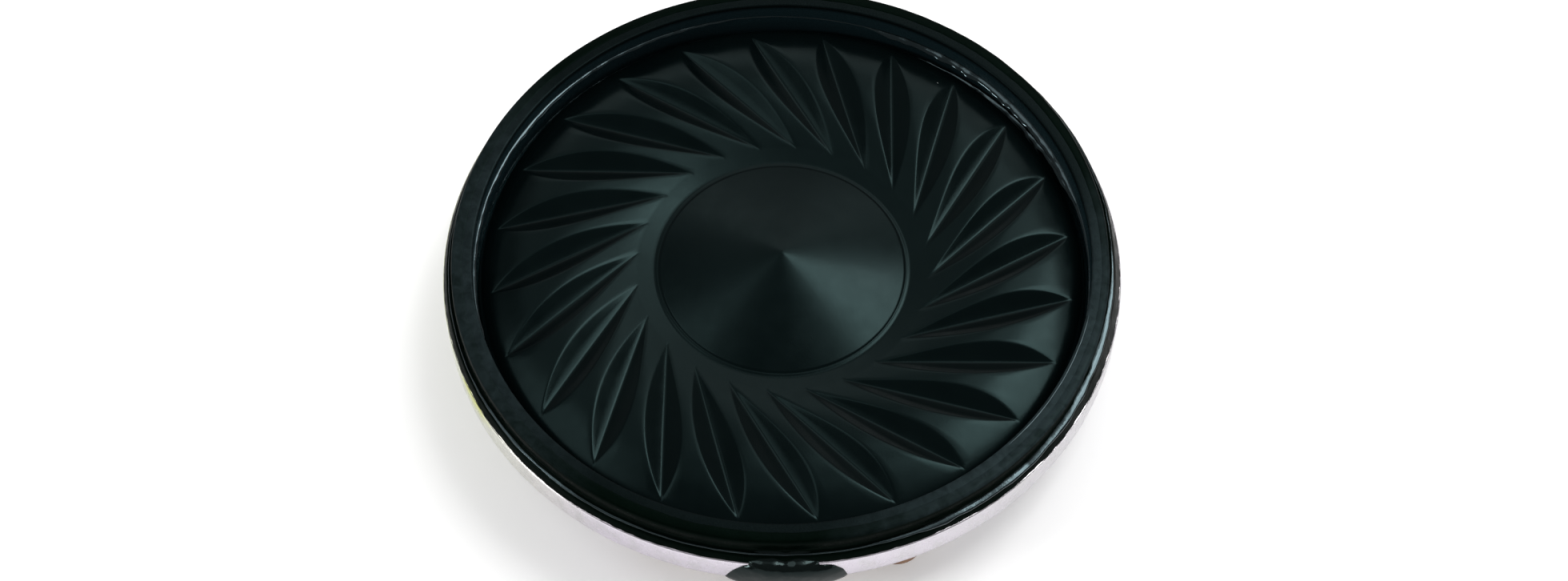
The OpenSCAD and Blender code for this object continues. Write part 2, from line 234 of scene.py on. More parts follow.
def around(radii, angles, heights):
    """Points from arrays of radius, angle and height."""
    return np.stack([radii * np.cos(angles), radii * np.sin(angles), heights + 0 * angles], axis=-1)


def ring_round(name, steps, section, *details, centre=(0, 0), sharp_angle=70):
    """A closed piece round an axis, whose section (radius, height) depends on the angle."""
    angles = np.arange(steps) * tau / steps
    sections = np.array([section(a, *details) for a in angles]).transpose(1, 0, 2)
    grid = around(sections[..., 0], angles, sections[..., 1]) + np.array([*centre, 0])
    faces = grid_faces(len(sections), steps, wrap_rows=True, wrap_cols=True)
    return new_piece(name, grid.reshape(-1, 3), faces, sharp_angle)


def turned(name, outline, steps=288, centre=(0, 0)):
    """A solid of revolution from a closed outline of (radius, height)."""
    return ring_round(name, steps, lambda angle: outline, centre=centre, sharp_angle=40)


def evaluated_mesh(holder):
    """The mesh that an object's curve or modifiers make."""
    bpy.context.view_layer.update()
    graph = bpy.context.evaluated_depsgraph_get()
    return bpy.data.meshes.new_from_object(holder.evaluated_get(graph))


def from_curve(name, curve):
    """The mesh of a curve, as an object of its own."""
    holder = add_object(name + "_curve", curve)
    mesh = evaluated_mesh(holder)
    bpy.data.objects.remove(holder)
    bpy.data.curves.remove(curve)
    mesh.name = name
    return add_piece(name, mesh)


def plate(name, outlines, z0, z1, bevel):
    """A flat plate with rounded edges between two heights. Outlines after the first are holes."""
    curve = bpy.data.curves.new(name, "CURVE")
    curve.dimensions = "2D"
    curve.fill_mode = "BOTH"
    curve.extrude = ((z1 - z0) / 2 - bevel) * MM
    curve.bevel_depth = bevel * MM
    curve.bevel_resolution = 2
    curve.offset = -bevel * MM
    for outline in outlines:
        spline = curve.splines.new("POLY")
        spline.points.add(len(outline) - 1)
        for point, (x, y) in zip(spline.points, outline):
            point.co = (x * MM, y * MM, 0, 1)
        spline.use_cyclic_u = True
    piece = from_curve(name, curve)
    piece.data.transform(Matrix.Translation((0, 0, (z0 + z1) / 2 * MM)))
    return piece


def polar(radius, angle):
    """A place in plan, from its distance and direction."""
    return radius * cos(angle), radius * sin(angle)


def rectangle(x0, x1, y0, y1, radius):
    """Outline of a rectangle with round corners."""
    steps = 8
    centres = [(x1 - radius, y1 - radius), (x0 + radius, y1 - radius),
               (x0 + radius, y0 + radius), (x1 - radius, y0 + radius)]
    return [(cx + radius * cos(a), cy + radius * sin(a))
            for k, (cx, cy) in enumerate(centres)
            for a in np.linspace(k * tau / 4, (k + 1) * tau / 4, steps)]


def circle(radius):
    """Outline of a circle round the origin."""
    steps = 48
    return [polar(radius, i * tau / steps) for i in range(steps)]


def smoothed(points, rounds=3):
    """A route with its corners cut again and again, whose ends stay."""
    route = [np.array(p, float) for p in points]
    for _ in range(rounds):
        cut = [route[0]]
        for a, b in zip(route, route[1:]):
            cut += [0.75 * a + 0.25 * b, 0.25 * a + 0.75 * b]
        route = cut + [route[-1]]
    return route


def wire(name, points):
    """A round lead wire along a route."""
    curve = bpy.data.curves.new(name, "CURVE")
    curve.dimensions = "3D"
    curve.bevel_depth = wire_d / 2 * MM
    curve.bevel_resolution = 3
    curve.use_fill_caps = True
    route = smoothed(points)
    spline = curve.splines.new("POLY")
    spline.points.add(len(route) - 1)
    for point, place in zip(spline.points, route):
        point.co = (*(place * MM), 1)
    return from_curve(name, curve)


def cut_away(piece, cutters):
    """Takes other objects' volumes out of a piece and deletes them."""
    for cutter in cutters:
        modifier = piece.modifiers.new("cut", "BOOLEAN")
        modifier.object = cutter
        modifier.operation = "DIFFERENCE"
        modifier.solver = "EXACT"
    mesh = evaluated_mesh(piece)
    piece.modifiers.clear()
    piece.data = mesh
    for cutter in cutters:
        bpy.data.objects.remove(cutter)
    mesh.shade_smooth()
    mesh.set_sharp_from_angle(angle=radians(40))


def wobble(x, y, z, frequency, seed):
    """Smooth noise from -1 to 1 at a point in millimetres."""
    return noise.noise(Vector((x * frequency + seed, y * frequency - seed, z * frequency + 2 * seed)))


def ripple(angle, frequency, seed):
    """Smooth noise from -1 to 1 along the bead."""
    return wobble(*polar(bead_r, angle), 0, frequency, seed)


def along_ring(angle, table):
    """The later columns of a table at an angle, from its first column in degrees."""
    turns, *columns = zip(*table)
    return [np.interp(degrees(angle), turns, column) for column in columns]


# Materials

# Length of one wave of Blender's wave texture at scale 1
wave_length = 0.314


class Finish:
    """A Principled material whose textures are measured in millimetres."""

    def __init__(self, name, colour, roughness, metallic=0, specular=0.5, tint=(1, 1, 1), coat=0):
        self.material = bpy.data.materials.new(name)
        self.material.use_nodes = True
        self.tree = self.material.node_tree
        self.shader = self.tree.nodes["Principled BSDF"]
        self.set("Base Color", (*colour, 1))
        self.set("Roughness", roughness)
        self.set("Metallic", metallic)
        self.set("Specular IOR Level", specular)
        self.set("Specular Tint", (*tint, 1))
        self.set("Coat Weight", coat)
        self.set("Coat Roughness", 0.08)
        self.place = self.node("TexCoord").outputs["Object"]
        self.relief = None

    def set(self, socket, value):
        self.shader.inputs[socket].default_value = value

    def link(self, source, target):
        self.tree.links.new(source, target)

    def node(self, kind, sources=(), constants=(), **settings):
        """A node with sockets linked to its first inputs, constants on others, and its own settings."""
        made = self.tree.nodes.new("ShaderNode" + kind)
        for key, value in settings.items():
            setattr(made, key, value)
        for source, target in zip(sources, made.inputs):
            self.link(source, target)
        for socket, value in dict(constants).items():
            made.inputs[socket].default_value = value
        return made

    def scaled(self, stretch=(1, 1, 1)):
        """Object coordinates in millimetres, stretched per axis."""
        scale = tuple(s / MM for s in stretch)
        return self.node("Mapping", [self.place], {"Scale": scale}).outputs["Vector"]

    def along(self, axis):
        """The object coordinate on one axis, in millimetres."""
        return self.node("SeparateXYZ", [self.scaled()]).outputs[axis]

    def toward(self, azimuth):
        """The object coordinate along a horizontal direction given in degrees, in millimetres."""
        direction = (*polar(1, radians(azimuth)), 0)
        dot = self.node("VectorMath", [self.scaled()], {1: direction}, operation="DOT_PRODUCT")
        return dot.outputs["Value"]

    def from_axis(self):
        """The distance from the object's axis, in millimetres."""
        return self.node("VectorMath", [self.scaled((1, 1, 0))], operation="LENGTH").outputs["Value"]

    def both(self, operation, first, second):
        """A sum, product, maximum or the like of two sockets."""
        return self.node("Math", [first, second], operation=operation).outputs[0]

    def below(self, source, limit):
        """1 where a socket is below a number, and 0 elsewhere."""
        return self.node("Math", [source], {1: limit}, operation="LESS_THAN").outputs[0]

    def noise(self, per_mm, detail=3, stretch=(1, 1, 1), distortion=0.0):
        constants = {"Scale": per_mm, "Detail": detail, "Distortion": distortion}
        return self.node("TexNoise", [self.scaled(stretch)], constants).outputs["Fac"]

    def wave(self, per_mm, direction="Z", kind="BANDS", distortion=0.0):
        constants = {"Scale": per_mm * wave_length, "Distortion": distortion}
        texture = self.node("TexWave", [self.scaled()], constants, wave_type=kind,
                            bands_direction=direction, rings_direction=direction)
        return texture.outputs["Fac"]

    def specks(self, per_mm, radius, share):
        """1 on scattered dots of that radius, on that share of the cells, and 0 elsewhere."""
        cells = self.node("TexVoronoi", [self.scaled()], {"Scale": per_mm}).outputs
        near = self.below(cells["Distance"], radius * per_mm)
        return self.both("MULTIPLY", near, self.below(cells["Color"], share))

    def span(self, source, low_in, high_in, low_out, high_out):
        """A socket's value carried from one range to another and held inside it."""
        constants = {"From Min": low_in, "From Max": high_in, "To Min": low_out, "To Max": high_out}
        return self.node("MapRange", [source], constants).outputs["Result"]

    def mixed(self, factor, colour_a, colour_b):
        """A colour between two colours, or between a socket and a colour."""
        mix = self.node("Mix", [factor], data_type="RGBA")
        for socket, colour in zip(mix.inputs[6:8], (colour_a, colour_b)):
            if isinstance(colour, tuple):
                socket.default_value = (*colour, 1)
            else:
                self.link(colour, socket)
        return mix.outputs[2]

    def colour(self, source):
        self.link(source, self.shader.inputs["Base Color"])

    def patchy(self, per_mm, detail, least, most, start=0.3):
        """Roughness in patches, between two values."""
        patches = self.span(self.noise(per_mm, detail), start, 0.7, least, most)
        self.link(patches, self.shader.inputs["Roughness"])

    def bump(self, height, depth):
        """Adds relief of that depth in millimetres."""
        added = self.node("Bump", constants={"Distance": depth * MM})
        self.link(height, added.inputs["Height"])
        if self.relief is not None:
            self.link(self.relief, added.inputs["Normal"])
        self.relief = added.outputs["Normal"]
        self.link(self.relief, self.shader.inputs["Normal"])


def film_finish():
    f = Finish("black_film", (0.0009, 0.0014, 0.0014), 0.18, specular=0.11, tint=(0.58, 1, 1))
    patches = f.noise(0.35, 4)
    tone = f.mixed(f.span(patches, 0.35, 0.65, 0, 1), (0.0007, 0.002, 0.0022), (0.0014, 0.0032, 0.0034))
    # Painted fill light: the film in the shaded edge roll, low and far out, gets a lighter teal colour
    fallen = f.span(f.along("Z"), groove_z - 0.24, groove_z - 0.4, 0, 1)
    roll = f.both("MULTIPLY", fallen, f.span(f.from_axis(), 9, 11, 0, 1))
    dust = f.specks(0.55, 0.03, 0.3)
    f.colour(f.mixed(dust, f.mixed(roll, tone, (0.01, 0.024, 0.027)), (0.3, 0.32, 0.31)))
    f.patchy(1.2, 5, 0.18, 0.25)
    f.bump(f.noise(7, 4), 0.0009)
    return f.material


def top_painted_sheen(f, tone):
    """Painted sheen: greyish, mottled patches over the flat top of the ring and its bead, on the right and
    on the left.
    """
    right = f.span(f.toward(-33), 8.4, 13, 0, 1)
    left = f.span(f.toward(187), 8.4, 12.2, 0, 0.55)
    on_top = f.span(f.along("Z"), ring_top - 0.12, ring_top - 0.05, 0, 1)
    mottle = f.span(f.noise(2.4, 6, distortion=0.6), 0.3, 0.7, 0.45, 1.3)
    painted_sheen = f.both("MULTIPLY", f.both("MULTIPLY", f.both("MAXIMUM", right, left), on_top), mottle)
    return f.mixed(painted_sheen, tone, (0.02, 0.03, 0.033))


def ring_finish():
    f = Finish("satin_black_plastic", (0.002, 0.003, 0.003), 0.3, specular=0.05, tint=(0.6, 1, 1))
    dark = f.mixed(f.noise(1.1, 5), (0.0012, 0.0024, 0.0026), (0.002, 0.0036, 0.0038))
    # Painted fill light: the shaded bore and every face below the ring's top get a lighter teal colour
    bore = f.span(f.along("Z"), ring_top - 0.1, ring_top - 0.3, 0, 1)
    specks = f.specks(2.6, 0.035, 0.06)
    tone = f.mixed(bore, dark, (0.01, 0.022, 0.026))
    # The ring's flat top gets painted sheen on its right and left
    f.colour(f.mixed(specks, top_painted_sheen(f, tone), (0.06, 0.07, 0.07)))
    f.patchy(3, 4, 0.22, 0.34)
    f.bump(f.noise(14, 4), 0.006)
    return f.material


def adhesive_tone(f):
    """Black that varies a little, in soft patches."""
    return f.mixed(f.noise(0.8, 3), (0.0011, 0.0019, 0.0018), (0.0026, 0.0038, 0.0036))


def dusted(f, tone):
    """A tone with pale specks of dust."""
    return f.mixed(f.specks(0.9, 0.02, 0.25), tone, (0.45, 0.47, 0.46))


def adhesive_finish():
    f = Finish("black_adhesive", (0.002, 0.003, 0.003), 0.1, specular=0.22, tint=(0.7, 1, 1))
    f.colour(dusted(f, adhesive_tone(f)))
    f.patchy(2.2, 5, 0.06, 0.18, start=0.35)
    f.bump(f.noise(4.5, 4), 0.01)
    return f.material


def bead_finish():
    """The adhesive of the bead, dull where it was smeared down over the rim."""
    f = Finish("dull_bead_adhesive", (0.002, 0.003, 0.003), 0.3, specular=0.02, tint=(0.55, 1, 0.85))
    tone = f.mixed(f.noise(0.8, 3), (0.0003, 0.0014, 0.0009), (0.001, 0.0036, 0.0022))
    # The bead's flat top gets painted sheen on its right and left
    f.colour(dusted(f, top_painted_sheen(f, tone)))
    f.patchy(1.7, 4, 0.22, 0.4)
    f.bump(f.noise(4.5, 4), 0.01)
    return f.material


def gloss_finish():
    """Skin of adhesive that set without being touched."""
    f = Finish("glossy_adhesive", (0.002, 0.003, 0.003), 0.12, specular=0.6, tint=(0.66, 0.92, 1))
    f.colour(adhesive_tone(f))
    f.patchy(2.2, 5, 0.08, 0.2, start=0.35)
    f.bump(f.noise(5, 4), 0.004)
    return f.material


def steel_finish():
    f = Finish("bright_plated_steel", (0.78, 0.78, 0.78), 0.24, metallic=1)
    # Yellowish towards the left and lilac towards the right, by position along X
    yellow_left_lilac_right = f.mixed(f.span(f.along("X"), -13, -7, 0, 1), (0.76, 0.78, 0.64), (0.76, 0.71, 0.79))
    # Painted shade: the steel is darker and greyer towards the right
    right_painted_shade = f.mixed(f.span(f.along("X"), 2, 10, 0, 1), yellow_left_lilac_right, (0.62, 0.6, 0.63))
    worn = f.mixed(f.span(f.noise(1.6, 5), 0.45, 0.75, 0, 0.5), right_painted_shade, (0.56, 0.56, 0.54))
    reach = f.both("MULTIPLY", f.span(f.toward(208), rim_r - 0.12, rim_r - 0.01, 0, 1),
                   f.span(f.along("Z"), rim_top - 1.1, rim_top - 0.1, 0, 1))
    stain = f.span(f.both("MULTIPLY", reach, f.noise(1.3, 4, distortion=0.8)), 0.12, 0.38, 0, 0.85)
    f.colour(f.mixed(stain, worn, (0.64, 0.66, 0.22)))
    f.patchy(2.5, 5, 0.16, 0.34)
    f.bump(f.noise(6, 4, stretch=(1, 1, 5)), 0.004)
    return f.material


def pot_finish():
    f = Finish("turned_pot_steel", (0.6, 0.6, 0.59), 0.3, metallic=1)
    f.colour(f.mixed(f.noise(0.5, 5), (0.52, 0.53, 0.53), (0.66, 0.66, 0.64)))
    f.patchy(1.4, 4, 0.24, 0.38)
    f.bump(f.wave(9, "Z", "RINGS", 0.6), 0.004)
    f.bump(f.noise(9, 4), 0.003)
    return f.material


def magnet_finish():
    f = Finish("nickel_magnet", (0.5, 0.48, 0.45), 0.35, metallic=1)
    f.colour(f.mixed(f.noise(1.5, 4), (0.42, 0.41, 0.39), (0.55, 0.53, 0.5)))
    f.bump(f.noise(12, 4), 0.004)
    return f.material


def plate_finish():
    f = Finish("pole_plate_steel", (0.55, 0.55, 0.54), 0.32, metallic=1)
    f.colour(f.mixed(f.noise(1.0, 4), (0.48, 0.48, 0.47), (0.6, 0.6, 0.59)))
    f.bump(f.wave(7, "Z", "RINGS", 0.4), 0.004)
    return f.material


def copper_finish():
    f = Finish("enamelled_copper", (0.62, 0.24, 0.09), 0.28, metallic=1, coat=0.6)
    f.colour(f.mixed(f.noise(5, 3), (0.5, 0.17, 0.06), (0.72, 0.3, 0.12)))
    f.bump(f.noise(20, 2), 0.003)
    return f.material


def winding_finish():
    f = Finish("copper_winding", (0.62, 0.24, 0.09), 0.3, metallic=1, coat=0.5)
    f.colour(f.mixed(f.noise(3, 3), (0.48, 0.17, 0.06), (0.7, 0.3, 0.12)))
    f.bump(f.wave(10, "Z"), 0.03)
    return f.material


def clear_glue_finish():
    f = Finish("amber_glue", (0.5, 0.34, 0.12), 0.14, coat=0.4)
    f.colour(f.mixed(f.noise(2, 3), (0.42, 0.27, 0.08), (0.6, 0.42, 0.17)))
    f.bump(f.noise(6, 3), 0.006)
    return f.material


def board_finish():
    f = Finish("paper_laminate", (0.27, 0.12, 0.045), 0.42)
    fibre = f.noise(3, 5, stretch=(0.4, 2.5, 1))
    f.colour(f.mixed(f.span(fibre, 0.35, 0.65, 0, 1), (0.2, 0.085, 0.03), (0.33, 0.16, 0.065)))
    f.patchy(2, 4, 0.35, 0.52)
    f.bump(fibre, 0.006)
    return f.material


def brass_finish():
    f = Finish("tinned_brass", (0.72, 0.6, 0.34), 0.25, metallic=1)
    f.colour(f.mixed(f.noise(2, 4), (0.62, 0.5, 0.27), (0.78, 0.68, 0.44)))
    f.bump(f.noise(10, 3), 0.004)
    return f.material


def pad_finish():
    f = Finish("tinned_copper", (0.7, 0.66, 0.6), 0.3, metallic=1)
    f.colour(f.mixed(f.span(f.noise(0.9, 4), 0.4, 0.65, 0, 1), (0.7, 0.68, 0.64), (0.66, 0.42, 0.25)))
    f.bump(f.noise(5, 4), 0.006)
    return f.material


def solder_finish():
    f = Finish("solder", (0.74, 0.75, 0.76), 0.22, metallic=1)
    f.colour(f.mixed(f.noise(2.5, 5), (0.6, 0.61, 0.63), (0.8, 0.81, 0.82)))
    f.patchy(4, 4, 0.15, 0.36)
    f.bump(f.noise(4, 4), 0.012)
    return f.material


def cloth_finish():
    f = Finish("damping_cloth", (0.06, 0.06, 0.062), 0.85, specular=0.25)
    f.set("Sheen Weight", 0.3)
    f.set("Sheen Roughness", 0.5)
    weave = f.both("MULTIPLY", f.wave(4.5, "X", distortion=0.4), f.wave(4.5, "Y", distortion=0.4))
    f.colour(f.mixed(weave, (0.02, 0.02, 0.021), (0.1, 0.1, 0.102)))
    f.bump(weave, 0.04)
    return f.material


def dress(piece, material):
    """Gives the whole piece one material."""
    piece.data.materials.clear()
    piece.data.materials.append(material)


def settle(piece, material, slot, *nodes):
    """Dresses a piece that rides the frame, and hides the CAD nodes that it stands for. The slot is not
    used.
    """
    dress(piece, material)
    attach(piece, "chassis")
    if nodes:
        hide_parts(*nodes)


# Diaphragm

def arch_height(r):
    """Height of the surround's lands between the inner and outer groove tips."""
    share = (r - groove_inner_r) / (groove_outer_r - groove_inner_r)
    rise = 4 * arch_rise * share * (1 - share) * (1 + arch_skew * (2 * share - 1))
    return inner_tip_z + (groove_z - inner_tip_z) * share + rise


def film_height(r):
    """Height of the film's upper side without its grooves, inside the edge roll."""
    if r <= dome_r:
        share = (hypot(r, apex_round) - apex_round) / dome_r
        return film_edge_z + dome_rise * (1 - share) + 4 * dome_bulge * share * (1 - share)
    if r <= band_r:
        return film_edge_z + np.interp(r, *zip(*dome_foot))
    if r <= groove_inner_r:
        foot_z = film_edge_z + dome_foot[-1][1]
        return foot_z + (inner_tip_z - foot_z) * (r - band_r) / (groove_inner_r - band_r)
    return arch_height(r)


def film_section():
    """(radius, height) of each row of the film's grid, from the apex to the border's edge."""
    radii = [0, 0.06, 0.14, 0.3, 0.7, 1.3, 2.0, 2.8, 3.6, 4.3, 4.8, 5.02, dome_r]
    radii += [r for r, _ in dome_foot[1:]] + [5.23, 5.28, 5.32, 5.42, 5.55, 5.7, 5.82, 5.9]
    radii += [groove_inner_r + d for d in (-0.06, 0, 0.06, 0.14, 0.24, 0.36)]
    radii += list(np.linspace(6.6, 11.4, 25))
    radii += [groove_outer_r - d for d in (0.46, 0.34, 0.24, 0.16, 0.1, 0.05, 0)]
    rows = [(r, film_height(r)) for r in sorted(radii)]
    # The edge roll: a Bezier curve that leaves the lands at their slope and drops to the border
    step = 0.02
    slope = (film_height(groove_outer_r) - film_height(groove_outer_r - step)) / step
    start = np.array([groove_outer_r, groove_z])
    steer_a = start + 0.3 * np.array([1, slope])
    steer_b = np.array([roll_foot_r - 0.01, groove_z - 0.25])
    foot = np.array([roll_foot_r, border_top + 0.08])
    for t in np.linspace(0.08, 1, 12):
        rows.append(tuple((1 - t) ** 3 * start + 3 * t * (1 - t) ** 2 * steer_a
                          + 3 * t * t * (1 - t) * steer_b + t ** 3 * foot))
    rows += [(roll_foot_r + 0.02, border_top + 0.02), (roll_foot_r + 0.08, border_top)]
    rows += [(13.1, border_top), (border_r, border_top)]
    return rows


def fold_ends(k):
    """Inner and outer tip of fold k, in plan."""
    outer = groove_start - k * groove_pitch
    inner = outer - groove_turn
    return np.array(polar(groove_inner_r, inner)), np.array(polar(groove_outer_r, outer))


def fold_angle(r):
    """Angle at which fold 0 crosses radius r."""
    inner, outer = fold_ends(0)
    r = min(max(r, groove_inner_r), groove_outer_r)
    run = outer - inner
    half = inner @ run
    share = (-half + sqrt(half * half - (run @ run) * (inner @ inner - r * r))) / (run @ run)
    place = inner + share * run
    return atan2(place[1], place[0])


def groove_height(x, y, k):
    """Height of groove k's two sides over the points (x, y)."""
    inner, outer = fold_ends(k)
    run = outer - inner
    share = np.clip(((x - inner[0]) * run[0] + (y - inner[1]) * run[1]) / (run @ run), 0, 1)
    away = np.hypot(x - inner[0] - share * run[0], y - inner[1] - share * run[1])
    fold_z = inner_tip_z + (groove_z - inner_tip_z) * share
    easing = 0.02 + fold_round * np.sqrt(4 * share * (1 - share))
    return fold_z + groove_slope * (np.hypot(away, easing) - 0.3 * easing)


def side_angle(r, direction):
    """Angle from fold 0 to the groove's edge on one side at radius r."""
    least = 0.1 / max(r, band_r)
    if r <= groove_inner_r or r >= groove_outer_r:
        return least
    fold = fold_angle(r)
    top = film_height(r)
    near = 0.0
    far = 0.45 * groove_pitch
    for _ in range(30):
        middle = (near + far) / 2
        angle = fold + direction * middle
        if groove_height(*polar(r, angle), 0) < top:
            near = middle
        else:
            far = middle
    return max(near, least)


def film_angles(r):
    """Angles of one pitch of the film's grid at radius r: groove side, land, next groove's side."""
    fold = fold_angle(r)
    after = side_angle(r, 1)
    before = side_angle(r, -1)
    side = [0, 0.05, 0.13, 0.5, 0.88, 0.96]
    land = [0, 0.05, 0.2, 0.5, 0.8, 0.95]
    width = groove_pitch - after - before
    angles = [fold + after * f for f in side]
    angles += [fold + after + width * f for f in land]
    angles += [fold + groove_pitch - before * f for f in (1, *reversed(side[1:]))]
    return angles


def build_film():
    """Dome, grooved surround, edge roll and glued border as one moulded film."""
    upper = []
    for r, z in film_section():
        one = film_angles(r)
        angles = np.array([a + k * groove_pitch for k in range(groove_count) for a in one])
        upper.append(around(r, angles, z))
    upper = np.array(upper)
    x = upper[..., 0]
    y = upper[..., 1]
    z = upper[..., 2]
    inside = np.hypot(x, y) < groove_outer_r + 0.3
    for k in range(groove_count):
        side = groove_height(x, y, k)
        # A soft minimum rounds the edge between land and groove
        mix = np.clip(0.5 + 0.5 * (side - z) / edge_round, 0, 1)
        grooved = side + (z - side) * mix - edge_round * mix * (1 - mix)
        z = np.where(inside, np.minimum(z, grooved), z)
    upper[..., 2] = z
    lower = upper.copy()
    lower[..., 2] -= film_t
    piece = shell("moulded_film", upper, lower, wrap=True, sharp_angle=60)
    dress(piece, film_finish())
    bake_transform(piece)
    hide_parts("diaphragm_dome", "diaphragm_surround")


# Frame, magnet pot and front ring

def build_frame():
    """Pressed steel frame with its vents, lead notch and eyelet hole."""
    section = rounded([
        (hole_r, floor_z, 0.04), (lower_r, floor_z, corner_r), (lower_r, step_z, 0.13),
        (rim_r, step_z, corner_r), (rim_r, rim_top, 0.1), (wall_r, rim_top, 0.1),
        (wall_r, seat_z, 0.04), (ledge_r, seat_z, 0.13), (ledge_r, floor_top, 0.06),
        (hole_r, floor_top, 0.04)], steps=7)
    piece = turned("pressed_chassis", section)
    cutters = [floor_cutter(centre, vent_d) for centre in vent_centres()]
    cutters.append(floor_cutter((0, eyelet_y), eyelet_d))
    notch = rectangle(-notch_w / 2, notch_w / 2, -rim_r - 1, -ledge_r + 0.45, 0.2)
    cutters.append(plate("notch_cutter", [notch], notch_z, rim_top + 1, 0.02))
    cut_away(piece, cutters)
    settle(piece, steel_finish(), "plated_steel", "frame")


def vent_centres():
    """Places of the vents, one in each pitch but the one that the board takes."""
    return [polar(vent_r, -tau / 4 + i * tau / vent_pitches) for i in range(1, vent_pitches)]


def floor_cutter(centre, diameter):
    """A round cutter through the frame's floor."""
    z0 = floor_z - 1
    z1 = floor_top + 1
    return turned("floor_cutter", [(0, z0), (diameter / 2, z0), (diameter / 2, z1), (0, z1)], 64, centre)


def build_pot():
    """Turned steel pot with its spigot and shoulder."""
    section = rounded([
        (0, 0, 0), (pot_r, 0, 0.18), (pot_r, floor_z, 0.03), (hole_r, floor_z, 0.02),
        (hole_r, pot_top, 0.08), (pot_bore_r, pot_top, 0.06), (pot_bore_r, pot_base_t, 0.1),
        (0, pot_base_t, 0)], steps=6)
    settle(turned("turned_pot", section, 192), pot_finish(), "pot_steel", "yoke_pot")


def build_ring():
    """Stepped clamping ring with eased edges and a flat top."""
    section = rounded([
        (ring_bore_r, border_top, 0.03), (ring_r, border_top, 0.03), (ring_r, foot_top, 0.03),
        (ring_neck_r, foot_top, 0.03), (ring_neck_r, ring_face_z, 0.04),
        (ring_bore_r, ring_face_z, 0.09)], steps=7)
    settle(turned("clamp_ring", section, 720), ring_finish(), "ring", "front_ring")


# Adhesives

# Middle of the bead's shelf: angle in degrees, radius, height
bead_shelf = [(0, 13.54, 4.62), (30, 13.66, 4.45), (70, 13.74, 4.2), (120, 13.72, 4.12), (290, 13.72, 4.08),
              (315, 13.72, 4.08), (328, 13.68, 4.3), (340, 13.6, 4.5), (360, 13.54, 4.62)]
# Width of the glossy run as a share of its widest: angle in degrees, share
run_width = [(0, 0.12), (40, 0.1), (204, 0.12), (213, 0.35), (238, 0.35), (250, 0.1), (284, 0.12), (298, 1),
             (344, 1), (354, 0.35), (360, 0.12)]
# Outer edge of the bead's flat top: angle in degrees, radius
top_edge = [(0, 13.44), (15, 13.47), (35, 13.58), (60, 13.62), (90, 13.58), (300, 13.55), (325, 13.52),
            (345, 13.44), (360, 13.44)]


def shelf_place(angle):
    """Radius and height of the middle of the bead's shelf."""
    radius, height = along_ring(angle, bead_shelf)
    return (radius + 0.02 * ripple(angle, 0.6, 5) + 0.012 * ripple(angle, 2.1, 9),
            height + 0.03 * ripple(angle, 0.5, 7))


def bead_rows(angle):
    """Section of the bead: over the ring's top, down to its shelf and down again to the rim's top."""
    shelf_r, shelf_z = shelf_place(angle)
    lip = bead_lip_r + 0.03 * ripple(angle, 0.7, 3) + 0.014 * ripple(angle, 2.6, 8)
    foot = bead_foot_r + 0.02 * ripple(angle, 0.9, 12) + 0.02 * ripple(angle, 3.1, 15)
    edge = min(*along_ring(angle, top_edge), shelf_r - 0.12)
    top = [(lip, ring_face_z - 0.01), (lip + 0.025, ring_face_z + 0.012), (lip + 0.07, ring_top - 0.003),
           (bead_lip_r + 0.15, ring_top - 0.002), (edge - 0.11, ring_top - 0.008),
           (edge - 0.04, ring_top - 0.035), (edge, ring_top - 0.09)]
    shelf = [(shelf_r - 0.12, shelf_z + 0.03), (shelf_r - 0.07, shelf_z), (shelf_r + 0.05, shelf_z - 0.03),
             (shelf_r + 0.1, shelf_z - 0.07)]
    base = [(bead_foot_r, rim_top + 0.1), (foot + 0.02, rim_top + 0.035), (foot + 0.04, rim_top - 0.005)]
    hidden = [(bead_foot_r, rim_top - 0.06), (ring_r, rim_top - 0.02), (ring_r - 0.02, foot_top + 0.01),
              (ring_neck_r - 0.01, foot_top + 0.01), (ring_neck_r - 0.01, ring_face_z - 0.04)]
    return top + between(top[-1], shelf[0]) + shelf + between(shelf[-1], base[0]) + base + hidden


def between(start, end):
    """Two points that part a line in three."""
    return [tuple((1 - t) * np.array(start) + t * np.array(end)) for t in (0.33, 0.67)]


def run_rows(angle):
    """Section of the low glossy run on the bead's shelf."""
    shelf_r, shelf_z = shelf_place(angle)
    [share] = along_ring(angle, run_width)
    half = 0.12 * share * (0.9 + 0.45 * ripple(angle, 1.3, 25))
    fall = 0.16 + 0.06 * ripple(angle, 1.1, 21) + 0.03 * ripple(angle, 4, 23)
    rows = [(shelf_r - half - 0.012, shelf_z - 0.04)]
    for u in np.linspace(-1, 1, 7):
        off = u * half
        rows.append((shelf_r + off, shelf_z + 0.025 - fall * off - off * off / 1.1))
    return rows + [(shelf_r + half + 0.012, rows[-1][1] - 0.02), (shelf_r + half, shelf_z - 0.12),
                   (shelf_r, shelf_z - 0.1)]


def build_bead():
    """Hand-laid bead round the ring, with a glossy run on its shelf."""
    bead = ring_round("ring_glue_bead", 1080, bead_rows)
    settle(bead, bead_finish(), "black_adhesive", "ring_adhesive")
    run = ring_round("bead_gloss_run", 1080, run_rows)
    settle(run, gloss_finish(), "black_adhesive")


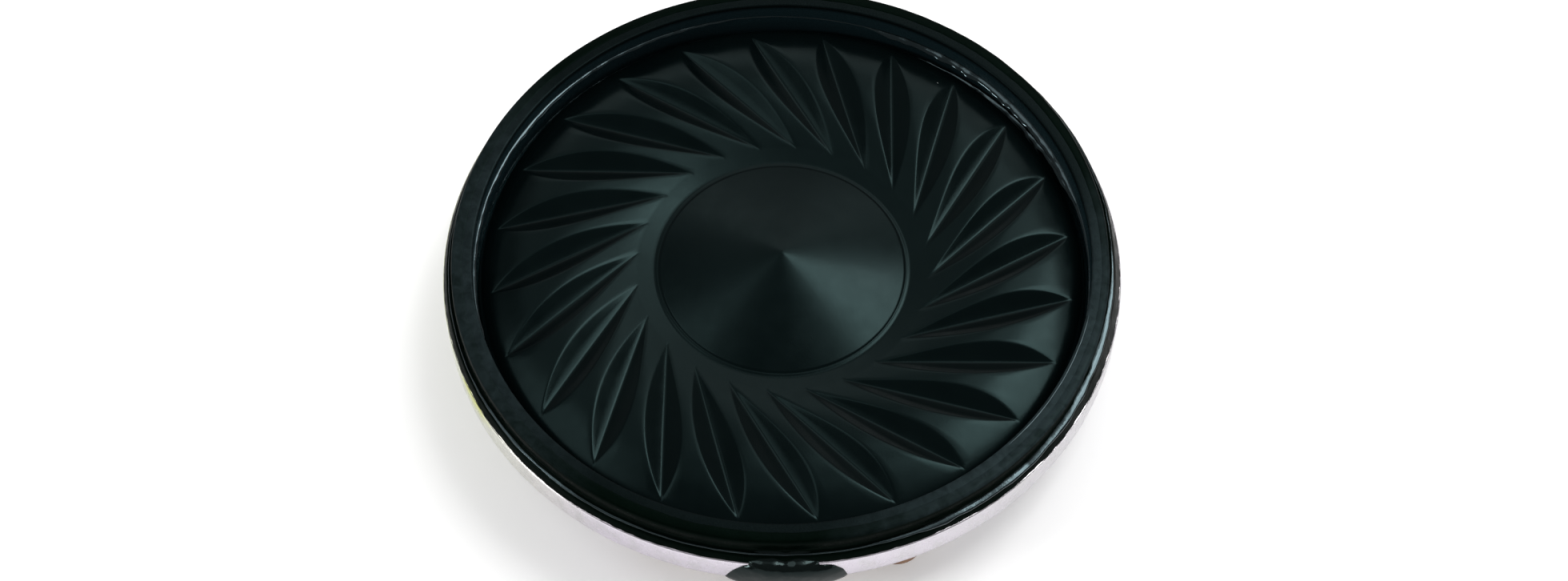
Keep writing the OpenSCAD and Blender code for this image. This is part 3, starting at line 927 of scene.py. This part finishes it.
# Glue lines on the ring's bore: angle in degrees, height, size
bore_line = [(0, 3.8, 0.012), (14, 3.78, 0.04), (22, 3.88, 0.11), (45, 3.95, 0.12), (66, 3.96, 0.1),
             (74, 3.96, 0.015), (96, 4.05, 0.02), (110, 4.08, 0.05), (150, 4.1, 0.055), (185, 4.1, 0.045),
             (206, 4.12, 0.02), (230, 4.1, 0.012), (360, 3.8, 0.012)]
foot_line = [(0, 3.6, 0.01), (13, 3.6, 0.03), (20, 3.52, 0.08), (30, 3.4, 0.1), (48, 3.2, 0.1),
             (62, 3.04, 0.08), (70, 2.98, 0.04), (78, 2.98, 0.004), (340, 2.98, 0.004), (360, 3.6, 0.01)]
# Thin glue line on the ring's inner top edge: angle in degrees, half width
edge_line = [(0, 0.006), (312, 0.006), (319, 0.035), (330, 0.03), (342, 0.035), (347, 0.006), (360, 0.006)]


def bore_rows(angle, line, seed):
    """Section of a glue line on the ring's bore: a face that curves inward as it falls, and a round lip."""
    height, size = along_ring(angle, line)
    height += 0.02 * ripple(angle, 1.1, seed)
    size *= 0.9 + 0.5 * ripple(angle, 1.7, seed + 2)
    # Number of points, radius in sizes, and tilt in degrees at the end
    face = (9, 4.0, 46)
    lip = (7, 0.35, 150)
    tilt = radians(6)
    rows = [(ring_bore_r + 0.004, height + 0.6 * size)]
    for steps, radius, last in (face, lip):
        for next_tilt in np.linspace(tilt, radians(last), steps)[1:]:
            r, z = rows[-1]
            rows.append((r - radius * size * (sin(next_tilt) - sin(tilt)),
                         z + radius * size * (cos(next_tilt) - cos(tilt))))
            tilt = next_tilt
    back_r = ring_bore_r + 0.03
    return rows + [(back_r, rows[-1][1] - size), (back_r, height + 0.6 * size)]


def edge_rows(angle):
    """Section of the low glue line on the ring's inner top edge."""
    [half] = along_ring(angle, edge_line)
    half *= 0.85 + 0.5 * ripple(angle, 1.9, 83)
    middle = ring_bore_r + 0.11 + 0.012 * ripple(angle, 1.3, 85)
    top = [(middle + half * cos(t), ring_face_z - 0.004 + 0.5 * half * sin(t))
           for t in np.linspace(0, pi, 9)]
    return top + [(middle - half, ring_face_z - 0.02), (middle + half, ring_face_z - 0.02)]


def build_bore_lines():
    """Thin glossy glue lines on the ring's bore and on its inner top edge."""
    material = gloss_finish()
    pieces = [ring_round("bore_glue_line", 720, bore_rows, bore_line, 71),
              ring_round("foot_glue_line", 720, bore_rows, foot_line, 77),
              ring_round("edge_glue_line", 720, edge_rows)]
    for piece in pieces:
        settle(piece, material, "black_adhesive")


# Outer face of the steel and the bead behind the mound: height, radius
mound_backing = [(floor_z, lower_r), (step_z - 0.15, lower_r), (step_z + 0.12, rim_r),
                 (rim_top - 0.1, rim_r), (rim_top + 0.05, bead_foot_r), (3.98, 13.85), (4.08, 13.72),
                 (4.12, 13.6), (4.45, 13.57), (ring_top, 13.5)]
# Crest line of the mound, from the bead down to the board: y, height
mound_crest = [(-13.68, 4.15), (-13.8, 4.01), (-13.93, 3.965), (-14.1, 3.955), (-14.27, 3.88),
               (-14.38, 3.62), (-14.42, 3.2), (-14.38, 2.7), (-14.18, 2.2), (-13.6, 1.55), (-13.25, 1.12),
               (-12.9, 1.05)]
# Spread of the mound: height, half width, middle
mound_spread = [(1.05, 2.05, 0.15), (1.5, 2.45, 0.1), (1.9, 2.5, 0.12), (2.6, 2.42, 0.2), (3.1, 2.2, 0.25),
                (3.5, 1.85, 0.25), (3.85, 1.5, 0.1), (4.05, 1.4, 0.05), (4.2, 1.3, 0.05)]


def mound_base(x, z):
    """Outer face of the steel, the bead or the board behind the mound, as a y."""
    if z < floor_z:
        return board_edge_y
    radius = np.interp(z, *zip(*mound_backing))
    return -sqrt(radius * radius - x * x)


def hump(x, middle, width):
    """A bell curve of height 1."""
    return exp(-((x - middle) / width) ** 2)


def build_mound():
    """Blob that seals the lead wires in the notch and runs down to the board."""
    heights, half_widths, middles = zip(*mound_spread)
    lowest_y = low("lead_adhesive", 1)
    front = []
    back = []
    for y_front, z in smoothed(mound_crest, 2):
        half = np.interp(z, heights, half_widths)
        middle = np.interp(z, heights, middles)
        thick = mound_base(0, z) - y_front
        depth = 0.28 if z >= floor_z else 0.02
        near_top = max(0, 1 - abs(z - 3.9) / 0.4)
        front_row = []
        back_row = []
        for u in np.linspace(-1, 1, 61):
            x = middle + half * u
            base = mound_base(x, z)
            swell = max(0, 1 - abs(u) ** 2.2) ** 0.6
            lobes = 1 + 0.1 * hump(x, -0.5, 0.45) + 0.1 * hump(x, 0.75, 0.5) - 0.1 * hump(x, 0.1, 0.3)
            lump = 0.02 * wobble(x, y_front, z, 1.6, 31) + 0.012 * wobble(x, y_front, z, 4, 37)
            sag = near_top * (0.13 * hump(x, 0.15, 0.3) + 0.22 * abs(u) ** 3)
            y = base - thick * swell * lobes - lump * swell + 0.05 * abs(u) ** 8
            front_row.append((x, max(y, lowest_y), z - sag))
            back_row.append((x, base + depth, z - sag))
        front.append(front_row)
        back.append(back_row)
    piece = shell("lead_glue_mound", np.array(front), np.array(back), sharp_angle=70)
    settle(piece, adhesive_finish(), "black_adhesive", "lead_adhesive")


# Rear side

def on_board(x, y):
    """A place on the turned board, from its place relative to the eyelet."""
    return (x * cos(board_turn) - y * sin(board_turn),
            eyelet_y + x * sin(board_turn) + y * cos(board_turn))


def lay_on_board(piece, material, slot, node):
    piece.data.transform(Matrix.Translation((0, eyelet_y * MM, 0)) @ Matrix.Rotation(board_turn, 4, "Z"))
    settle(piece, material, slot, node)


def build_terminals():
    """Board with its pads, solder joints and rolled eyelet."""
    board = plate("terminal_plate", [
        rectangle(-board_w / 2, board_w / 2, -board_off - board_l / 2, -board_off + board_l / 2, 1.1),
        circle(eyelet_d / 2)], board_z0, board_z1, 0.04)
    lay_on_board(board, board_finish(), "board", "terminal_board")
    flange_low = board_z0 - eyelet_flange_t
    flange_high = floor_top + eyelet_flange_t
    section = rounded([
        (eyelet_bore_d / 2, flange_low, 0.16), (eyelet_flange_d / 2, flange_low, 0.1),
        (eyelet_flange_d / 2, board_z0, 0.08), (eyelet_d / 2, board_z0, 0.02),
        (eyelet_d / 2, floor_top, 0.02), (eyelet_flange_d / 2, floor_top, 0.08),
        (eyelet_flange_d / 2, flange_high, 0.1), (eyelet_bore_d / 2, flange_high, 0.16)], steps=6)
    lay_on_board(turned("rolled_eyelet", section, 64), brass_finish(), "eyelet", "board_eyelet")
    pad_material = pad_finish()
    solder_material = solder_finish()
    for side, x in (("plus", pad_x), ("minus", -pad_x)):
        outline = rectangle(x - pad_w / 2, x + pad_w / 2, -pad_l / 2, pad_l / 2, 0.3)
        pad = plate("tinned_pad_" + side, [outline], pad_z0, board_z0, 0.012)
        lay_on_board(pad, pad_material, "pad_copper", "pad_" + side)
        build_solder(side, x, solder_material)


def build_solder(side, x, material):
    """Low joint whose skirt wets the pad, a little out of round."""
    profile = [(0, 0), (0.2, 0.012), (0.42, 0.055), (0.6, 0.125), (0.72, 0.2), (0.8, 0.27),
               (0.87, 0.32), (0.96, 0.35), (1.0, 0.365), (0, 0.365)]
    joint_r = 0.85
    profile_h = 0.36
    drop = pad_z0 - solder_z0
    outline = [(r * joint_r, solder_z0 + h * drop / profile_h) for r, h in profile]
    piece = turned("solder_joint_" + side, outline, 72, (x, 0))
    for vertex in piece.data.vertices:
        px = vertex.co.x / MM
        py = vertex.co.y / MM
        stretch = 1 + 0.1 * wobble(px, py, 0, 0.7, 41 + x)
        vertex.co.x = (x + (px - x) * stretch) * MM
        vertex.co.y = py * stretch * MM
    lay_on_board(piece, material, "solder", "solder_" + side)


def build_leads():
    """Fine wires from the coil to the notch, and from there to the pads."""
    copper = copper_finish()
    wire_r = wire_d / 2
    for side, sign in (("plus", 1), ("minus", -1)):
        inner = wire("coil_wire_" + side, [
            (sign * 0.6, -coil_r - wire_r, coil_top - 0.34),
            (sign * 0.9, -coil_r - 1.6, coil_top - 0.4),
            (sign * 0.95, -(coil_r + ledge_r) / 2, (coil_top + notch_z) / 2 - 0.1),
            (sign * 0.8, -ledge_r + 1.2, notch_z + 0.12),
            (sign * 0.7, -ledge_r - 0.05, notch_z + wire_r + 0.01)])
        dress(inner, copper)
        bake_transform(inner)
        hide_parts("coil_lead_" + side)
        outer = wire("rim_wire_" + side, [
            (sign * 0.7, -ledge_r - 0.05, notch_z + wire_r + 0.01),
            (sign * 0.75, -rim_r - wire_r - 0.01, notch_z + wire_r + 0.01),
            (sign * 1.1, -rim_r - wire_r - 0.01, step_z + corner_r),
            (sign * 1.55, -(rim_r + lower_r) / 2 - 0.2, floor_z + 0.3),
            (sign * 1.9, -lower_r - 0.05, board_z0 + 0.3),
            (*on_board(sign * 2.5, board_edge_y - 0.4 - eyelet_y), board_z0 - wire_r - 0.05),
            (*on_board(sign * (pad_x - 0.2), -0.425), pad_z0 - wire_r - 0.01)])
        settle(outer, copper, "copper_wire", "rim_lead_" + side)


def build_cloth():
    """Damping cloth glued behind the vents, drawn in a little over each of them."""
    start = -tau / 4 + (tau - cloth_span) / 2
    angles = start + np.linspace(0, 1, 241) * cloth_span
    inner_r = cloth_r1 - cloth_w
    radii = np.linspace(inner_r, cloth_r1, 19)
    lower = np.zeros((len(radii), len(angles), 3))
    for i, r in enumerate(radii):
        for j, a in enumerate(angles):
            x, y = polar(r, a)
            dip = 0.0
            for cx, cy in vent_centres():
                away = hypot(x - cx, y - cy)
                dip += 0.05 * max(0, 1 - (away / (vent_d / 2)) ** 2)
            lower[i, j] = (x, y, cloth_z0 + 0.015 + dip + 0.008 * wobble(x, y, 0, 0.8, 51))
    upper = lower.copy()
    upper[..., 2] += floor_z - cloth_z0 - 0.02
    piece = shell("damping_sheet", upper, lower)
    settle(piece, cloth_finish(), "cloth", "vent_cloth")


def finish_inner_nodes():
    """Materials for the CAD solids that stay."""
    for name, material in (("magnet", magnet_finish()), ("pole_plate", plate_finish()),
                           ("voice_coil", winding_finish()), ("coil_adhesive", clear_glue_finish())):
        for material_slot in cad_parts[name].material_slots:
            material_slot.material = material


# Camera, light and stage

def place_camera():
    """The photograph's view: its elevation, distance and framing were fitted to the ring and the folds."""
    elevation = radians(56.72)
    distance = 0.1157
    focal_px = 3495
    image_w = 1960
    image_h = 726
    centre_px = (977.5, 330.63)
    roll = radians(-0.174)
    target = Vector((0, 0, groove_z * MM))
    back = Vector((0, -cos(elevation), sin(elevation)))
    up = Vector((0, sin(elevation), cos(elevation)))
    right = Vector((1, 0, 0))
    aim = (-back + right * (image_w / 2 - centre_px[0]) / focal_px
           - up * (image_h / 2 - centre_px[1]) / focal_px)
    data = bpy.data.cameras.new("photo_camera")
    data.sensor_width = 36
    data.lens = focal_px * data.sensor_width / image_w
    data.clip_start = 0.005
    camera = add_object("photo_camera", data)
    camera.location = target + back * distance
    turn = aim.to_track_quat("-Z", "Y")
    camera.rotation_mode = "QUATERNION"
    camera.rotation_quaternion = turn @ Quaternion((0, 0, 1), -roll)
    scene.camera = camera


def softbox(name, toward, size, radiance):
    """A rectangular white lamp in a direction from the object, with its face's radiance given."""
    distance = 0.4
    light = bpy.data.lights.new(name, "AREA")
    light.shape = "RECTANGLE"
    light.size, light.size_y = size
    light.energy = radiance * pi * size[0] * size[1]
    lamp = add_object(name, light)
    direction = Vector(toward).normalized()
    lamp.location = Vector((0, 0, groove_z * MM)) + direction * distance
    lamp.rotation_mode = "QUATERNION"
    lamp.rotation_quaternion = direction.to_track_quat("Z", "Y")
    lamp.visible_camera = False


def light_stage():
    """Lamps, each with its direction, its size in metres and its radiance, and a grey surround."""
    softbox("key", (0.44, 0.295, 0.848), (0.17, 0.16), 7.2)
    softbox("key_halo", (0.28, 0.49, 0.825), (0.19, 0.17), 1.7)
    softbox("key_low", (0.25, 0.15, 0.957), (0.15, 0.1), 0.8)
    softbox("left_top", (-0.49, 0.14, 0.86), (0.16, 0.16), 1.9)
    softbox("overhead", (0, 0.55, 0.835), (0.34, 0.36), 0.45)
    softbox("back_strip", (0.06, 0.815, 0.574), (0.32, 0.09), 0.8)
    softbox("low_left", (-0.87, -0.32, 0.39), (0.06, 0.06), 26)
    softbox("low_right", (0.93, -0.2, 0.3), (0.14, 0.05), 5)
    world = bpy.data.worlds.new("studio")
    scene.world = world
    world.use_nodes = True
    nodes = world.node_tree.nodes
    links = world.node_tree.links
    place = nodes.new("ShaderNodeTexCoord")
    split = nodes.new("ShaderNodeSeparateXYZ")
    links.new(place.outputs["Generated"], split.inputs[0])
    ramp = nodes.new("ShaderNodeValToRGB")
    links.new(split.outputs["Z"], ramp.inputs["Fac"])
    stops = [(0, 1), (0.08, 1), (0.18, 0.24), (1, 0.28)]
    while len(ramp.color_ramp.elements) < len(stops):
        ramp.color_ramp.elements.new(0.5)
    for element, (height, level) in zip(ramp.color_ramp.elements, stops):
        element.position = height
        element.color = (level, level, level, 1)
    links.new(ramp.outputs["Color"], nodes["Background"].inputs["Color"])


def build_floor():
    """Plain white floor. The camera and reflections see it glow, and nothing is lit by that glow."""
    half = 1500
    floor = new_piece("floor", [(-half, -half, 0), (half, -half, 0), (half, half, 0), (-half, half, 0)],
                      [(0, 1, 2, 3)])
    f = Finish("white_floor", (0.9, 0.9, 0.9), 0.7, specular=0.2)
    f.colour(f.mixed(f.noise(0.02, 3), (0.895, 0.895, 0.895), (0.905, 0.905, 0.905)))
    f.set("Emission Color", (1, 1, 1, 1))
    rays = f.node("LightPath").outputs
    mirrored = f.both("MAXIMUM", rays["Is Glossy Ray"], rays["Is Transmission Ray"])
    seen = f.both("MAXIMUM", rays["Is Camera Ray"], mirrored)
    f.link(f.span(seen, 0, 1, 0, 0.3), f.shader.inputs["Emission Strength"])
    dress(floor, f.material)


place_camera()
light_stage()
build_floor()
build_film()
build_frame()
build_pot()
build_ring()
build_bead()
build_bore_lines()
build_mound()
build_terminals()
build_leads()
build_cloth()
finish_inner_nodes()
scene.view_settings.view_transform = "Standard"
